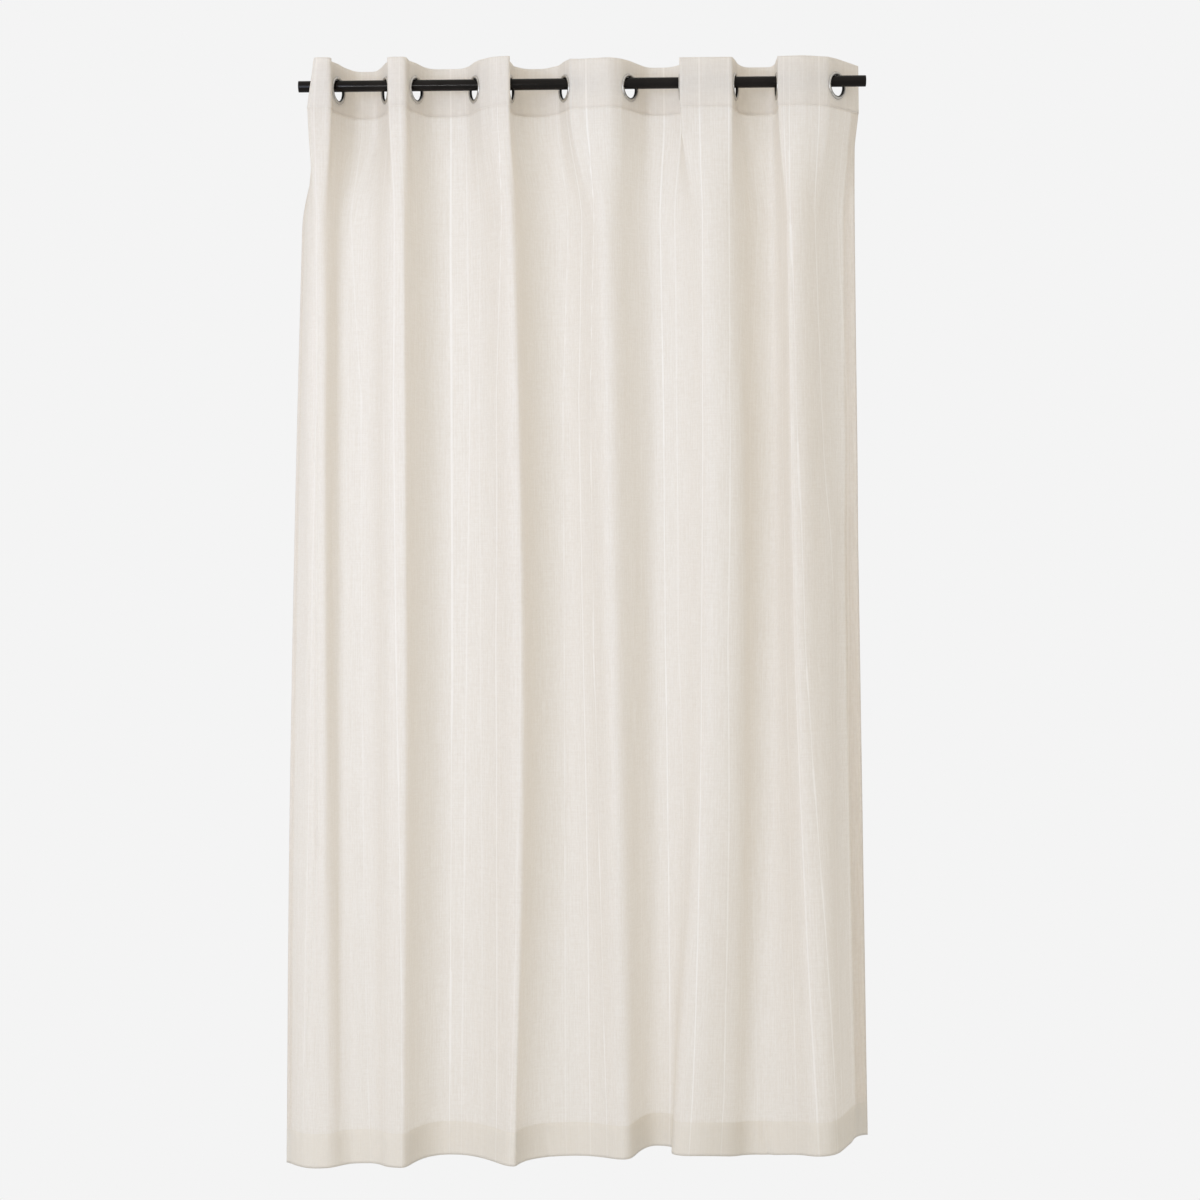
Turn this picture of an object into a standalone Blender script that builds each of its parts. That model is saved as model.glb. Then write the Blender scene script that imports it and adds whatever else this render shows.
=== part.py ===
"""Sheer eyelet curtain hanging in folds from a plain round rod.

Lengths are in metres and +Z is up. The origin lies on the rod's axis, midway along it.
+X runs along the rod, and the front of the cloth faces -Y.
"""
import math
from collections import namedtuple

import bmesh
import bpy
import numpy as np
from mathutils import Matrix, Vector

MM = 0.001

# Rod: plain and round, with square-cut ends.
ROD_LENGTH = 1103 * MM
ROD_RADIUS = 11 * MM
ROD_SIDES = 32

# Cloth, as cut and sewn.
DROP = 2134 * MM
HEADING_DEPTH = 97 * MM
HEM_DEPTH = 66 * MM
EYELET_PITCH = 160 * MM         # from eyelet to eyelet along the cloth
EDGE_MARGIN = 70 * MM           # from the last eyelet to the side edge along the cloth
EYELET_BELOW_TOP = 52 * MM
PANEL_THICKNESS = 1.6 * MM
HEM_THICKNESS = 2.4 * MM
HEADING_THICKNESS = 2.4 * MM
CREST_DROOP = 0.05              # the top edge sags by this share of a fold's depth

# Eyelet: two snapped rings with a short barrel through the heading.
BORE_RADIUS = 20 * MM
BARREL_RADIUS = 21.2 * MM
FLANGE_RADIUS = 27 * MM
CROWN_RADIUS = 24 * MM
CROWN_HEIGHT = 3.3 * MM         # from the eyelet's middle plane to the flange's crown
MOUTH_RADIUS = 21 * MM
MOUTH_HEIGHT = 2.6 * MM
EYELET_SIDES = 24
FLAT_HALF_LENGTH = 28 * MM      # cloth kept flat on each side of an eyelet's centre

# Clearances.
GAP = 0.3 * MM                  # between neighbouring pieces
BORE_REST_GAP = 0.4 * MM        # between a bore's top and the rod

# Heights. An eyelet hangs with the top of its bore on the rod.
EYELET_Z = -(BORE_RADIUS - ROD_RADIUS - BORE_REST_GAP)
TOP_Z = EYELET_Z + EYELET_BELOW_TOP
HEADING_BOTTOM_Z = TOP_Z - HEADING_DEPTH
HEM_Z = TOP_Z - DROP
HIGH_Z = -420 * MM              # heights at which the fold table is read
MIDDLE_Z = -1100 * MM
BLEND_HEIGHT = 220 * MM         # the heading's folds relax over this height

# Corners of the heading's folds, seen from above.
CORNER_REACH = 12 * MM          # from a corner to where its rounding starts
CORNER_LIMIT = 0.7              # the share of a side that a rounding may take up

# Mesh density.
CORNER_STEPS = 2                # steps round each corner of a heading fold
HEADING_ROWS = 3
PANEL_STEPS = 8                 # steps down the panel between the heading and the hem
PANEL_CROWDING = 1.25           # above 1, the panel's rows crowd towards the heading
HEM_LEDGE = 2 * MM              # height over which the cloth thickens to the hem
CURVE_STEPS = 80                # steps of the smooth curves that the columns are read from
CLOTH_SHARP_DEGREES = 50        # edges turned further than this are shaded sharp
METAL_SHARP_DEGREES = 40

# Search for the depth at which a heading fold takes up the cloth between two eyelets.
LEAST_DEPTH = 20 * MM
MOST_DEPTH = 150 * MM
DEPTH_HALVINGS = 40

Eyelet = namedtuple("Eyelet", "x turn lean")
Face = namedtuple("Face", "name left right slope")
Fold = namedtuple("Fold", "name x_high x_middle x_hem y_high y_middle y_hem lift")
Flank = namedtuple("Flank", "wrap_body sweep_body wrap_hem sweep_hem")

# One row for each eyelet from left to right: place along the rod (mm), angle between the
# cloth and the rod seen from above (degrees), and sideways lean of the cloth there
# (sideways per unit of height).
EYELETS = [
    Eyelet(-516, 92, 0.16),
    Eyelet(-475, 69, 0.0),
    Eyelet(-382, 70, 0.0),
    Eyelet(-323, 65, 0.0),
    Eyelet(-209, 65, 0.0),
    Eyelet(-139, 80, 0.0),
    Eyelet(-34, 67, 0.0),
    Eyelet(92, 54, 0.0),
    Eyelet(192, 96, 0.0),
    Eyelet(297, 76, 0.0),
    Eyelet(379, 89, 0.0),
    Eyelet(495, 47, 0.0),
]

# One row for each fold of the heading from left to right: the places of its face's two
# corners along the rod, and how much further from the rod its right corner stands than
# its left one (all in mm).
FACES = [
    Face("crest 1", -523, -480, 0),
    Face("valley 1", -446, -406, 0),
    Face("crest 2", -373, -337, 0),
    Face("valley 2", -296, -236, 0),
    Face("crest 3", -174, -137, 12),
    Face("valley 3", -112, -74, 0),
    Face("crest 4", -4, 54, 14),
    Face("valley 4", 128, 172, 0),
    Face("crest 5", 189, 290, 0),
    Face("valley 5", 319, 373, 0),
    Face("crest 6", 377, 426, 6),
]

# One row for each side edge, crest and valley line from left to right: its place along
# the rod and its depth behind the rod's axis, at HIGH_Z, MIDDLE_Z and the hem, and how
# far the hem is lifted there (all in mm).
FOLDS = [
    Fold("left edge", -557, -578, -596, 31, 19, -4, 0),
    Fold("crest 1", -510, -517, -526, -40, -38, -54, 0),
    Fold("valley 1", -461, -468, -445, 22, 20, -14, 0),
    Fold("crest 2", -348, -353, -369, -58, -54, -46, -2),
    Fold("valley 2", -271, -276, -284, 51, 53, 44, 0),
    Fold("crest 3", -137, -131, -152, -58, -54, -46, -2),
    Fold("valley 3", -62, -54, -42, 51, 53, 33, -2),
    Fold("crest 4", 42, 50, 59, -44, -40, -8, 0),
    Fold("valley 4", 140, 137, 125, 34, 40, 62, 9),
    Fold("crest 5", 246, 242, 191, -40, -36, -16, 7),
    Fold("valley 5", 366, 358, 332, 56, 54, 46, -9),
    Fold("crest 6", 399, 408, 438, -40, -34, -20, 6),
    Fold("right edge", 536, 541, 550, 62, 88, 117, 10),
]

# One row for each flank between two lines of the fold table: how far its ends wrap round
# the crest and the valley, and how far its middle is swept to the left (mm), in the body
# of the panel and at the hem.
FLANKS = [
    Flank(0, 8, 0, 12),
    Flank(3, 4, 3, 4),
    Flank(6, -8, 4, 0),
    Flank(2, 16, 2, 18),
    Flank(2, -18, 2, -18),
    Flank(6, 18, 4, 36),
    Flank(2, -12, 2, -12),
    Flank(0, 2, 2, 4),
    Flank(2, -12, 14, 4),
    Flank(6, -6, 2, 6),
    Flank(2, -4, 2, -10),
    Flank(2, 4, 6, -12),
]


# ---------------------------------------------------------------- curves seen from above

def smoothstep(value):
    """Ease a value from 0 to 1."""
    value = min(max(value, 0.0), 1.0)
    return value * value * (3 - 2 * value)


def travel(points):
    """Distance along a polyline at each of its points."""
    steps = np.hypot(*np.diff(points, axis=0).T)
    return np.concatenate([[0.0], np.cumsum(steps)])


def at_shares(points, shares):
    """Points at the given shares of a polyline's length."""
    along = travel(points)
    wanted = np.asarray(shares) * along[-1]
    return np.stack([np.interp(wanted, along, points[:, i]) for i in (0, 1)], axis=1)


def rounded(start, corner, end):
    """Two sides of a corner, with a parabola in its place."""
    before, after = np.linalg.norm(start - corner), np.linalg.norm(end - corner)
    reach = min(CORNER_REACH, CORNER_LIMIT * before, CORNER_LIMIT * after)
    first = corner + (start - corner) * reach / before
    last = corner + (end - corner) * reach / after
    t = np.linspace(0, 1, CORNER_STEPS + 1)[:, None]
    arc = (1 - t) ** 2 * first + 2 * (1 - t) * t * corner + t ** 2 * last
    return np.vstack([start, arc, end])


def eyelet_in_plan(index, z):
    """Centre of the cloth at an eyelet's place, and the cloth's direction there."""
    row = EYELETS[index]
    centre = np.array([row.x * MM + row.lean * (z - EYELET_Z), 0.0])
    turn = math.radians(row.turn)
    side = -1 if index % 2 == 0 else 1
    return centre, np.array([math.cos(turn), side * math.sin(turn)])


def fold_between(index, z):
    """The fold that follows an eyelet, as its halves left and right of its face's middle.

    It is as deep as the cloth between the two eyelets makes it.
    """
    centre, way = eyelet_in_plan(index, z)
    next_centre, next_way = eyelet_in_plan(index + 1, z)
    start = centre + way * FLAT_HALF_LENGTH
    end = next_centre - next_way * FLAT_HALF_LENGTH
    side = -1 if index % 2 == 0 else 1
    face = FACES[index]
    left = face.left * MM + EYELETS[index].lean * (z - EYELET_Z)
    right = face.right * MM + EYELETS[index + 1].lean * (z - EYELET_Z)
    wanted = EYELET_PITCH - 2 * FLAT_HALF_LENGTH
    low, high = LEAST_DEPTH, MOST_DEPTH
    for _ in range(DEPTH_HALVINGS):
        depth = (low + high) / 2
        left_corner = np.array([left, side * (depth - face.slope * MM / 2)])
        right_corner = np.array([right, side * (depth + face.slope * MM / 2)])
        middle = (left_corner + right_corner) / 2
        left_half = rounded(start, left_corner, middle)
        right_half = rounded(middle, right_corner, end)
        if travel(left_half)[-1] + travel(right_half)[-1] < wanted:
            low = depth
        else:
            high = depth
    return left_half, right_half


def heading_flanks(z):
    """The heading seen from above, as one polyline from fold middle to fold middle.

    Each flank runs straight through its eyelet. Its flat's ends are given as well, as
    shares of its length.
    """
    folds = [fold_between(index, z) for index in range(len(EYELETS) - 1)]
    flanks = []
    flats = []
    for index in range(len(EYELETS)):
        centre, way = eyelet_in_plan(index, z)
        if index == 0:
            before = np.array([centre - way * EDGE_MARGIN, centre - way * FLAT_HALF_LENGTH])
        else:
            before = folds[index - 1][1]
        if index == len(EYELETS) - 1:
            after = np.array([centre + way * FLAT_HALF_LENGTH, centre + way * EDGE_MARGIN])
        else:
            after = folds[index][0]
        flanks.append(np.vstack([before, after]))
        along = travel(flanks[-1])
        flats.append((along[len(before) - 1] / along[-1], along[len(before)] / along[-1]))
    return flanks, flats


def through_levels(values, z):
    """Smooth curve in height through the three columns of the fold table."""
    levels = (HIGH_Z, MIDDLE_Z, HEM_Z)
    total = 0.0
    for i, value in enumerate(values):
        share = 1.0
        for j, level in enumerate(levels):
            if j != i:
                share *= (z - level) / (levels[i] - level)
        total += value * share
    return total * MM


def body_flanks(z):
    """The relaxed folds of the panel seen from above, at one height."""
    lines = []
    for row in FOLDS:
        x = through_levels((row.x_high, row.x_middle, row.x_hem), z)
        y = through_levels((row.y_high, row.y_middle, row.y_hem), z)
        lines.append((x, y))
    lower = smoothstep((MIDDLE_Z - z) / (MIDDLE_Z - HEM_Z))
    t = np.linspace(0, 1, CURVE_STEPS + 1)
    flanks = []
    for index, row in enumerate(FLANKS):
        (x_start, y_start), (x_end, y_end) = lines[index], lines[index + 1]
        wrap = (row.wrap_body + (row.wrap_hem - row.wrap_body) * lower) * MM
        sweep = (row.sweep_body + (row.sweep_hem - row.sweep_body) * lower) * MM
        x = x_start + (x_end - x_start) * t
        x += wrap * np.sin(2 * math.pi * t) - sweep * np.sin(math.pi * t)
        y = y_start + (y_end - y_start) * (1 - np.cos(math.pi * t)) / 2
        flanks.append(np.stack([x, y], axis=1))
    return flanks


def flank_shares(flank, flat):
    """Where a flank's columns lie: at its own points, and in the middle of its flat."""
    along = travel(flank)
    return np.sort(np.append(along / along[-1], sum(flat) / 2))


def plan_row(z):
    """The cloth's columns seen from above, at one height."""
    heading, flats = heading_flanks(max(z, HEADING_BOTTOM_Z))
    body = body_flanks(z)
    relaxed = smoothstep((HEADING_BOTTOM_Z - z) / BLEND_HEIGHT)
    points = []
    for index, flat in enumerate(flats):
        shares = flank_shares(heading[index], flat)
        if index:
            shares = shares[1:]
        tight = at_shares(heading[index], shares)
        loose = at_shares(body[index], shares)
        points.append(tight * (1 - relaxed) + loose * relaxed)
    return np.vstack(points)


def column_lifts():
    """How far the hem is lifted at each column."""
    heading, flats = heading_flanks(HEADING_BOTTOM_Z)
    lifts = []
    for index, flat in enumerate(flats):
        shares = flank_shares(heading[index], flat)
        if index:
            shares = shares[1:]
        start, end = FOLDS[index].lift * MM, FOLDS[index + 1].lift * MM
        lifts.extend(start + (end - start) * smoothstep(share) for share in shares)
    return np.array(lifts)


# ---------------------------------------------------------------- sheets of cloth

def grid_normals(grid):
    """Unit normals of a grid of points, facing the front where the cloth lies flat."""
    along = np.gradient(grid, axis=1)
    down = np.gradient(grid, axis=0)
    normals = np.cross(down, along)
    return normals / np.linalg.norm(normals, axis=2, keepdims=True)


def thick_sheet(name, grid, thicknesses):
    """Closed sheet around a grid of points, with a thickness for each row."""
    normals = grid_normals(grid)
    offset = normals * (np.asarray(thicknesses) / 2)[:, None, None]
    rows, columns = grid.shape[:2]
    mesh_data = bmesh.new()
    front = [[mesh_data.verts.new(point) for point in row] for row in grid + offset]
    back = [[mesh_data.verts.new(point) for point in row] for row in grid - offset]
    for i in range(rows - 1):
        for j in range(columns - 1):
            for side in (front, back):
                mesh_data.faces.new(
                    (side[i][j], side[i + 1][j], side[i + 1][j + 1], side[i][j + 1]))
    for i in (0, rows - 1):
        for j in range(columns - 1):
            mesh_data.faces.new((front[i][j], front[i][j + 1], back[i][j + 1], back[i][j]))
    for j in (0, columns - 1):
        for i in range(rows - 1):
            mesh_data.faces.new((front[i][j], front[i + 1][j], back[i + 1][j], back[i][j]))
    bmesh.ops.recalc_face_normals(mesh_data, faces=mesh_data.faces)
    return add_object(name, mesh_data)


def heading_grid():
    """Middle surface of the heading, whose top edge sags a little at each fold."""
    heights = np.linspace(TOP_Z, HEADING_BOTTOM_Z, HEADING_ROWS)
    rows = []
    for height in heights:
        plan = plan_row(height)
        upper = (height - HEADING_BOTTOM_Z) / HEADING_DEPTH
        z = height - CREST_DROOP * np.abs(plan[:, 1]) * upper
        rows.append(np.column_stack([plan, z]))
    return np.array(rows)


def panel_grid():
    """Middle surface of the panel from the heading to the hem, with its row heights."""
    top = HEADING_BOTTOM_Z - GAP
    hem_top = HEM_Z + HEM_DEPTH
    shares = (np.arange(PANEL_STEPS + 1) / PANEL_STEPS) ** PANEL_CROWDING
    heights = list(top + (hem_top - top) * shares)
    heights += [hem_top - HEM_LEDGE, HEM_Z]
    lifts = column_lifts()
    rows = []
    for height in heights:
        lower = (top - height) / (top - HEM_Z)
        rows.append(np.column_stack([plan_row(height), height + lifts * lower]))
    thicknesses = [PANEL_THICKNESS] * (PANEL_STEPS + 1) + [HEM_THICKNESS] * 2
    return np.array(rows), thicknesses


# ---------------------------------------------------------------- eyelets and rod

def eyelet_axes(index):
    """Placement of an eyelet: its local Z is the bore's axis and its local Y points up."""
    centre, way = eyelet_in_plan(index, EYELET_Z)
    along = Vector((way[0], way[1], 0.0))
    up = Vector((EYELETS[index].lean, 0.0, 1.0))
    axis = along.cross(up).normalized()
    rotation = Matrix((along, axis.cross(along), axis)).transposed()
    return Matrix.Translation((centre[0], centre[1], EYELET_Z)) @ rotation.to_4x4()


def eyelet_profile():
    """Half section of an eyelet as (radius, height) corners, around the heading's edge."""
    face = HEADING_THICKNESS / 2 + GAP
    upper = [
        (MOUTH_RADIUS, MOUTH_HEIGHT),
        (CROWN_RADIUS, CROWN_HEIGHT),
        (FLANGE_RADIUS, face),
        (BARREL_RADIUS, face),
    ]
    lower = [(radius, -height) for radius, height in reversed(upper)]
    return [(BORE_RADIUS, 0.0)] + upper + lower


def eyelet_mesh():
    """Turned ring whose flats stay outside the round bore."""
    widen = 1 / math.cos(math.pi / EYELET_SIDES)
    mesh_data = bmesh.new()
    rings = []
    for step in range(EYELET_SIDES):
        angle = 2 * math.pi * (step + 0.5) / EYELET_SIDES
        ring = []
        for radius, height in eyelet_profile():
            reach = radius * widen if radius < BARREL_RADIUS else radius
            place = (reach * math.cos(angle), reach * math.sin(angle), height)
            ring.append(mesh_data.verts.new(place))
        rings.append(ring)
    corners = len(rings[0])
    for step in range(EYELET_SIDES):
        this, following = rings[step], rings[(step + 1) % EYELET_SIDES]
        for i in range(corners):
            j = (i + 1) % corners
            mesh_data.faces.new((this[i], following[i], following[j], this[j]))
    bmesh.ops.recalc_face_normals(mesh_data, faces=mesh_data.faces)
    return mesh_data


def hole_cutter():
    """One guide object with a cylinder through the heading at each eyelet."""
    mesh_data = bmesh.new()
    for index in range(len(EYELETS)):
        turn = Matrix.Rotation(math.pi / EYELET_SIDES, 4, "Z")
        bmesh.ops.create_cone(
            mesh_data, cap_ends=True, segments=EYELET_SIDES,
            radius1=BARREL_RADIUS + GAP, radius2=BARREL_RADIUS + GAP,
            depth=4 * HEADING_THICKNESS, matrix=eyelet_axes(index) @ turn)
    cutter = add_object("eyelet_holes", mesh_data)
    cutter.hide_render = True
    cutter.display_type = "WIRE"
    return cutter


def cut_holes(heading, cutter):
    """Cut the eyelets' holes through the heading."""
    cut = heading.modifiers.new("eyelet_holes", "BOOLEAN")
    cut.operation = "DIFFERENCE"
    cut.solver = "EXACT"
    cut.object = cutter


def make_rod():
    """Round bar along X."""
    mesh_data = bmesh.new()
    bmesh.ops.create_cone(
        mesh_data, cap_ends=True, segments=ROD_SIDES,
        radius1=ROD_RADIUS, radius2=ROD_RADIUS, depth=ROD_LENGTH)
    rod = add_object("rod", mesh_data)
    rod.rotation_euler = (0, math.pi / 2, 0)
    return rod


# ---------------------------------------------------------------- scene

def add_object(name, mesh_data):
    """Turn a bmesh into an object of the scene."""
    mesh = bpy.data.meshes.new(name)
    mesh_data.to_mesh(mesh)
    mesh_data.free()
    created = bpy.data.objects.new(name, mesh)
    bpy.context.scene.collection.objects.link(created)
    return created


def add_material(name, color, roughness, metallic):
    """Plain surface colour for one sub-part."""
    material = bpy.data.materials.new(name)
    material.use_nodes = True
    shader = material.node_tree.nodes["Principled BSDF"]
    shader.inputs["Base Color"].default_value = (*color, 1.0)
    shader.inputs["Roughness"].default_value = roughness
    shader.inputs["Metallic"].default_value = metallic
    return material


def finish(part, material, sharp_degrees, parent):
    """Give a part its material, its shading and its parent."""
    part.data.materials.append(material)
    part.data.shade_smooth()
    part.data.set_sharp_from_angle(angle=math.radians(sharp_degrees))
    part.parent = parent


def build():
    for old in list(bpy.data.objects):
        bpy.data.objects.remove(old, do_unlink=True)

    root = bpy.data.objects.new("hung_curtain", None)
    bpy.context.scene.collection.objects.link(root)

    panel = thick_sheet("curtain_panel", *panel_grid())
    voile = add_material("panel_voile", (0.76, 0.72, 0.66), 0.9, 0.0)
    finish(panel, voile, CLOTH_SHARP_DEGREES, root)

    grid = heading_grid()
    heading = thick_sheet("heading_band", grid, [HEADING_THICKNESS] * len(grid))
    cut_holes(heading, hole_cutter())
    doubled_voile = add_material("heading_voile", (0.79, 0.75, 0.70), 0.9, 0.0)
    finish(heading, doubled_voile, CLOTH_SHARP_DEGREES, root)

    rod = make_rod()
    black_paint = add_material("rod_black", (0.012, 0.012, 0.013), 0.35, 0.0)
    finish(rod, black_paint, METAL_SHARP_DEGREES, root)

    for index in range(len(EYELETS)):
        eyelet = add_object(f"eyelet_{index + 1:02d}", eyelet_mesh())
        eyelet.matrix_world = eyelet_axes(index)
        nickel = add_material(f"eyelet_nickel_{index + 1:02d}", (0.5, 0.49, 0.48), 0.25, 1.0)
        finish(eyelet, nickel, METAL_SHARP_DEGREES, root)


build()
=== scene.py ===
"""Looks of a sheer voile eyelet curtain hanging in folds from a plain black rod.

Lengths are in metres in the frame's own axes: the origin lies on the rod's axis midway
along it, +X runs along the rod, +Z is up and the front of the cloth faces -Y. Places
along the cloth are measured flat, from its left side edge.
"""

import math
from collections import namedtuple
from functools import lru_cache

import bmesh
import bpy
import numpy as np
from mathutils import Matrix, Vector, noise


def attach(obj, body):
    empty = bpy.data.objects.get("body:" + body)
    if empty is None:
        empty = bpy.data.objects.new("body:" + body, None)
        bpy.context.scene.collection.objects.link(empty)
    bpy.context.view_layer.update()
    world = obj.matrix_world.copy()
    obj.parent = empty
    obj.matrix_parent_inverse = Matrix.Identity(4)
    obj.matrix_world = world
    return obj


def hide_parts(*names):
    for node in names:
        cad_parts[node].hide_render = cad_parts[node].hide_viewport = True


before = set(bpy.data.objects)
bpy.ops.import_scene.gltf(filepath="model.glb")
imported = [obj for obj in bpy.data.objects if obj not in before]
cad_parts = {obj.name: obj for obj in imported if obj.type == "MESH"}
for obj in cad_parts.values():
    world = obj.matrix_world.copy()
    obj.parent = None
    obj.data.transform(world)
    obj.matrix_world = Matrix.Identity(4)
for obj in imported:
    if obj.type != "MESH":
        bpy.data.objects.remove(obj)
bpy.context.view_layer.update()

MM = 0.001

# Rod.
ROD_LENGTH = 1103 * MM
ROD_RADIUS = 11 * MM
ROD_WALL = 1 * MM
ROD_SIDES = 96
ROD_EDGE = 0.6 * MM             # rounding of the rod's ends
ROD_EDGE_STEPS = 4
ROD_RINGS = (0.8, 0.4, 0.0, -0.4, -0.8)   # places along the tube, in half rod lengths
PLUG_DEPTH = 0.8 * MM           # how far a plug sits inside each end
PLUG_GAP = 0.5 * MM             # width of the groove round the plug
PLUG_GROOVE = 0.3 * MM          # and its depth
MOUTH_BEVEL = 0.2 * MM

# Cloth, as cut and sewn.
DROP = 2134 * MM
HEADING_DEPTH = 97 * MM
HEM_DEPTH = 66 * MM
SIDE_HEM = 22 * MM
EYELET_PITCH = 160 * MM         # from eyelet to eyelet along the cloth
EDGE_MARGIN = 70 * MM           # from the last eyelet to the side edge along the cloth
EYELET_BELOW_TOP = 52 * MM
CREST_DROOP = 0.05              # the top edge sags by this share of a fold's depth

# Eyelet.
BORE_RADIUS = 20 * MM
BORE_REST_GAP = 0.4 * MM        # between a bore's top and the rod
FLAT_HALF_LENGTH = 28 * MM      # cloth kept flat on each side of an eyelet's centre
FLANGE_RADIUS = 27 * MM
FLANGE_FACE = 1.3 * MM          # from the eyelet's middle to the flange's edge on the cloth
CROWN_RISE = 2.1 * MM
CROWN_STEPS = 12
SLEEVE_RADIUS = 21.2 * MM       # outside of the dark sleeve in the bore
SLEEVE_LIP = 2.2 * MM           # half the sleeve's length
SLEEVE_STRAIGHT = 0.7           # the share of it up to the lip's bevel
SLEEVE_BEVEL = 0.4 * MM
NECK_WALL = 0.3 * MM            # of the metal neck between the flanges, round the sleeve
EYELET_SIDES = 96

# Heights.
EYELET_Z = -(BORE_RADIUS - ROD_RADIUS - BORE_REST_GAP)
TOP_Z = EYELET_Z + EYELET_BELOW_TOP
HEADING_BOTTOM_Z = TOP_Z - HEADING_DEPTH
HEM_Z = TOP_Z - DROP
HIGH_Z = -420 * MM              # heights at which the fold table is read
MIDDLE_Z = -1100 * MM
BLEND_HEIGHT = 220 * MM         # the heading's folds relax over this height

# Fine mesh of the cloth.
CURVE_COLUMNS = 13              # columns along each curved stretch of a fold
FLAT_COLUMNS = 8                # columns along the flat stretch through an eyelet
PANEL_ROWS = 210
HEM_ROWS = 12
HEADING_ROWS_BELOW = 3          # rows below and above the square round an eyelet
HEADING_ROWS_ABOVE = 4
HOLE_RINGS = 3                  # rings of faces between that square and the hole
CURVE_STEPS = 120               # steps of the smooth curves that the columns are read from

# Corners of the heading's folds, seen from above.
CORNER_REACH = 12 * MM          # from a corner to where its rounding starts
CORNER_LIMIT = 0.7              # the share of a side that a rounding may take up
CORNER_STEPS = 12

# Search for the depth at which a heading fold takes up the cloth between two eyelets.
LEAST_DEPTH = 20 * MM
MOST_DEPTH = 150 * MM
DEPTH_HALVINGS = 40

# Layers of the cloth.
HEADING_HALF = 0.9 * MM         # from the heading's middle to each of its two layers
HEADING_LAP = 6 * MM            # the panel's top edge, sewn in between them
TOP_ROUNDING = 0.6              # rise of the heading's top fold, as a share of HEADING_HALF
HEM_FOLD = 1.2 * MM             # from the panel's face to its turned-up hem
SIDE_FOLD = 0.9 * MM            # and to its side hems
HEM_LEDGE = 0.5 * MM            # how far the hem stands proud of the panel
LEDGE_HEIGHT = 2.5 * MM         # height over which it does so
HOLE_RADIUS = 22.5 * MM

# Stitches.
STITCH_PITCH = 3.4 * MM
STITCH_LENGTH = 2.5 * MM
STITCH_THICKNESS = 0.5 * MM
STITCH_START = 0.2              # share of a pitch before the first stitch
STITCH_RISE = 0.4               # share of its thickness by which a stitch stands out
STITCH_TAPER = 0.25             # share of its length that tapers at each end
STITCH_SIDES = 4
STITCH_OUT = 0.15 * MM          # from the cloth's face to the stitches' line
SEAM_IN = 2.5 * MM              # from a seam's edge to its stitches


Eyelet = namedtuple("Eyelet", "x turn lean", defaults=[0])
Face = namedtuple("Face", "name left right slope", defaults=[0])
Fold = namedtuple("Fold", "name x_high x_middle x_hem y_high y_middle y_hem lift", defaults=[0])
Flank = namedtuple("Flank", "wrap_body sweep_body wrap_hem sweep_hem")

# One row for each eyelet from left to right: place along the rod (mm), angle between the
# cloth and the rod seen from above (degrees), and sideways lean of the cloth there
# (sideways per unit of height).
EYELETS = [
    Eyelet(-516, 92, 0.16),
    Eyelet(-475, 69),
    Eyelet(-382, 70),
    Eyelet(-323, 65),
    Eyelet(-209, 65),
    Eyelet(-139, 80),
    Eyelet(-34, 67),
    Eyelet(92, 54),
    Eyelet(192, 96),
    Eyelet(297, 76),
    Eyelet(379, 89),
    Eyelet(495, 47),
]

# One row for each fold of the heading from left to right: the places of its face's two
# corners along the rod, and how much further from the rod its right corner stands than
# its left one (all in mm).
FACES = [
    Face("crest 1", -523, -480),
    Face("valley 1", -446, -406),
    Face("crest 2", -373, -337),
    Face("valley 2", -296, -236),
    Face("crest 3", -174, -137, 12),
    Face("valley 3", -112, -74),
    Face("crest 4", -4, 54, 14),
    Face("valley 4", 128, 172),
    Face("crest 5", 189, 290),
    Face("valley 5", 319, 373),
    Face("crest 6", 377, 426, 6),
]

# One row for each side edge, crest and valley line from left to right: its place along
# the rod and its depth behind the rod's axis, at HIGH_Z, MIDDLE_Z and the hem, and how
# far the hem is lifted there (all in mm).
FOLDS = [
    Fold("left edge", -557, -578, -596, 31, 19, -4),
    Fold("crest 1", -510, -517, -526, -40, -38, -54),
    Fold("valley 1", -461, -468, -445, 22, 20, -14),
    Fold("crest 2", -348, -353, -369, -58, -54, -46, -2),
    Fold("valley 2", -271, -276, -284, 51, 53, 44),
    Fold("crest 3", -137, -131, -152, -58, -54, -46, -2),
    Fold("valley 3", -62, -54, -42, 51, 53, 33, -2),
    Fold("crest 4", 42, 50, 59, -44, -40, -8),
    Fold("valley 4", 140, 137, 125, 34, 40, 62, 9),
    Fold("crest 5", 246, 242, 191, -40, -36, -16, 7),
    Fold("valley 5", 366, 358, 332, 56, 54, 46, -9),
    Fold("crest 6", 399, 408, 438, -40, -34, -20, 6),
    Fold("right edge", 536, 541, 550, 62, 88, 117, 10),
]

# One row for each flank between two lines of the fold table: how far its ends wrap round
# the crest and the valley, and how far its middle is swept to the left (mm), in the body
# of the panel and at the hem.
FLANKS = [
    Flank(0, 8, 0, 12),
    Flank(3, 4, 3, 4),
    Flank(6, -8, 4, 0),
    Flank(2, 16, 2, 18),
    Flank(2, -18, 2, -18),
    Flank(6, 18, 4, 36),
    Flank(2, -12, 2, -12),
    Flank(0, 2, 2, 4),
    Flank(2, -12, 14, 4),
    Flank(6, -6, 2, 6),
    Flank(2, -4, 2, -10),
    Flank(2, 4, 6, -12),
]


# ---- curves seen from above

def smoothstep(value):
    """Ease a value from 0 to 1."""
    value = min(max(value, 0.0), 1.0)
    return value * value * (3 - 2 * value)


def travel(points):
    """Distance along a polyline at each of its points."""
    steps = np.hypot(*np.diff(points, axis=0).T)
    return np.concatenate([[0.0], np.cumsum(steps)])


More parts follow.
